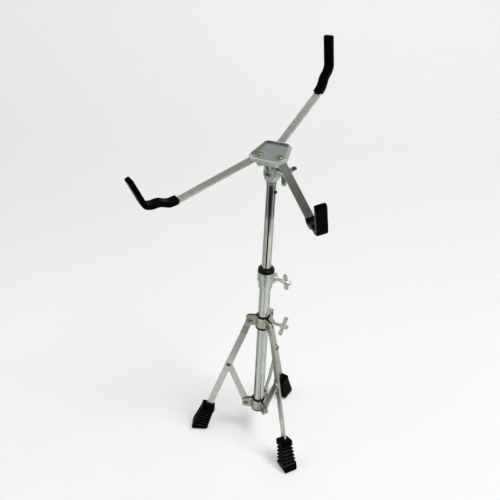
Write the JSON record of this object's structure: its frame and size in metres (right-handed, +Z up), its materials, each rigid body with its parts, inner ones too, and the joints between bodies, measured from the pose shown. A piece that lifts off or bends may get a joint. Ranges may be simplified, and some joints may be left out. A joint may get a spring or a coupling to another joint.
{
  "type": "snare drum stand",
  "caption": "Folding tripod stand with ribbed rubber feet, a clamped height tube, and a tilting basket whose hooked, rubber-sleeved arms hold a snare drum.",
  "frame": {"origin": "on the floor, on the axis of the stand pipe", "axes": "+Z up along the pipe; -X along the left leg; the basket is tilted down away from the fixed arm"},
  "size_m": [0.2836, 0.3929, 0.659],
  "materials": {
    "chrome_tube": "chrome-plated drawn steel tube, mirror bright",
    "chrome_cast": "chrome-plated castings and pressings, bright",
    "nickel_bracket": "nickel-plated pressed steel, satin",
    "zinc_strap": "plated flat steel strap, satin with fine rolling marks",
    "nickel_plate": "nickel-plated pressed steel, satin face with a bright rim",
    "brass_rivet": "plain brass, dull",
    "pale_washer": "zinc-plated steel",
    "black_plastic": "moulded nylon, black",
    "black_screw": "blackened steel",
    "black_rubber": "moulded rubber, black, matt"
  },
  "bodies": {
    "base": {"base_tube": "chrome_tube", "clamp_body": "chrome_tube", "lower_bracket_1": "nickel_bracket", "lower_bracket_2": "nickel_bracket", "lower_bracket_3": "nickel_bracket", "lower_sleeve": "black_plastic", "lower_rivets": "brass_rivet"},
    "clamp_screw": {"clamp_wing_screw": "chrome_cast"},
    "bush": {"clamp_bush": "black_plastic"},
    "height_tube": {"upper_tube": "chrome_tube", "tube_ferrule": "chrome_tube", "set_screw": "black_screw", "tilter_yoke": "chrome_cast", "tilt_bolt": "chrome_cast", "tilt_washer": "chrome_cast"},
    "tilt_nut": {"tilt_wing_nut": "chrome_cast"},
    "head": {"tilter_tongue": "chrome_cast", "lower_tray": "chrome_cast", "top_plate": "nickel_plate", "pivot_bolts": "brass_rivet", "pivot_discs": "pale_washer", "pivot_nuts": "brass_rivet", "fixed_arm": "zinc_strap", "fixed_arm_grip": "black_rubber"},
    "left_swing_arm": {"left_arm": "zinc_strap", "left_arm_grip": "black_rubber"},
    "right_swing_arm": {"right_arm": "zinc_strap", "right_arm_grip": "black_rubber"},
    "collar": {"collar_bracket_1": "nickel_bracket", "collar_bracket_2": "nickel_bracket", "collar_bracket_3": "nickel_bracket", "collar_sleeve": "black_plastic", "collar_rivets": "brass_rivet", "collar_nut": "nickel_bracket"},
    "collar_screw": {"collar_wing_screw": "chrome_cast"},
    "leg_left_body": {"leg_left": "zinc_strap", "foot_left": "black_rubber", "knee_rivet_left": "brass_rivet"},
    "leg_front_body": {"leg_front": "zinc_strap", "foot_front": "black_rubber", "knee_rivet_front": "brass_rivet"},
    "leg_back_body": {"leg_back": "zinc_strap", "foot_back": "black_rubber", "knee_rivet_back": "brass_rivet"},
    "brace_left_body": {"brace_left": "zinc_strap"},
    "brace_front_body": {"brace_front": "zinc_strap"},
    "brace_back_body": {"brace_back": "zinc_strap"}
  },
  "joints": [
    {"name": "collar_slide", "type": "slide", "parent": "base", "child": "collar", "axis": [0, 0, 1], "range_m": [0, 0.01127]},
    {"name": "leg_left_fold", "type": "hinge", "parent": "collar", "child": "leg_left_body", "pos_m": [-0.0214, 0, 0.2405], "axis": [0, -1, 0], "range_deg": [0, 13.1]},
    {"name": "leg_front_fold", "type": "hinge", "parent": "collar", "child": "leg_front_body", "pos_m": [0.0107, -0.01853, 0.2405], "axis": [0.866, 0.5, 0], "range_deg": [0, 13.1]},
    {"name": "leg_back_fold", "type": "hinge", "parent": "collar", "child": "leg_back_body", "pos_m": [0.0107, 0.01853, 0.2405], "axis": [-0.866, 0.5, 0], "range_deg": [0, 13.1]},
    {"name": "brace_left_fold", "type": "hinge", "parent": "base", "child": "brace_left_body", "pos_m": [-0.0214, 0, 0.0615], "axis": [0, -1, 0], "range_deg": [-14.9, 0]},
    {"name": "brace_front_fold", "type": "hinge", "parent": "base", "child": "brace_front_body", "pos_m": [0.0107, -0.01853, 0.0615], "axis": [0.866, 0.5, 0], "range_deg": [-14.9, 0]},
    {"name": "brace_back_fold", "type": "hinge", "parent": "base", "child": "brace_back_body", "pos_m": [0.0107, 0.01853, 0.0615], "axis": [-0.866, 0.5, 0], "range_deg": [-14.9, 0]},
    {"name": "tube_turn", "type": "hinge", "parent": "base", "child": "bush", "pos_m": [0, 0, 0.328], "axis": [0, 0, 1], "continuous": true},
    {"name": "tube_height", "type": "slide", "parent": "bush", "child": "height_tube", "axis": [0, 0, 1], "range_m": [-0.128, 0.1]},
    {"name": "basket_tilt", "type": "hinge", "parent": "height_tube", "child": "head", "pos_m": [0, 0, 0.5094], "axis": [0.757, -0.6534, 0], "range_deg": [-45, 40]},
    {"name": "left_arm_swing", "type": "hinge", "parent": "head", "child": "left_swing_arm", "pos_m": [-0.01968, 0.00109, 0.52948], "axis": [-0.1889, -0.2188, 0.9573], "range_deg": [-32, 25]},
    {"name": "right_arm_swing", "type": "hinge", "parent": "head", "child": "right_swing_arm", "pos_m": [0.00936, -0.01444, 0.53166], "axis": [-0.1889, -0.2188, 0.9573], "range_deg": [-40, 17]},
    {"name": "clamp_wing_turn", "type": "hinge", "parent": "base", "child": "clamp_screw", "pos_m": [0.03118, -0.018, 0.328], "axis": [0.866, -0.5, 0], "continuous": true},
    {"name": "collar_wing_turn", "type": "hinge", "parent": "collar", "child": "collar_screw", "pos_m": [0.03289, -0.01464, 0.2405], "axis": [0.9135, -0.4067, 0], "continuous": true},
    {"name": "tilt_nut_turn", "type": "hinge", "parent": "height_tube", "child": "tilt_nut", "pos_m": [0.01514, -0.01307, 0.5094], "axis": [0.757, -0.6534, 0], "continuous": true}
  ],
  "couplings": [
    {"joint": "leg_left_fold", "follows": "collar_slide", "rad_per_m": 20.17},
    {"joint": "leg_front_fold", "follows": "collar_slide", "rad_per_m": 20.17},
    {"joint": "leg_back_fold", "follows": "collar_slide", "rad_per_m": 20.17},
    {"joint": "brace_left_fold", "follows": "collar_slide", "rad_per_m": -22.87},
    {"joint": "brace_front_fold", "follows": "collar_slide", "rad_per_m": -22.87},
    {"joint": "brace_back_fold", "follows": "collar_slide", "rad_per_m": -22.87}
  ]
}
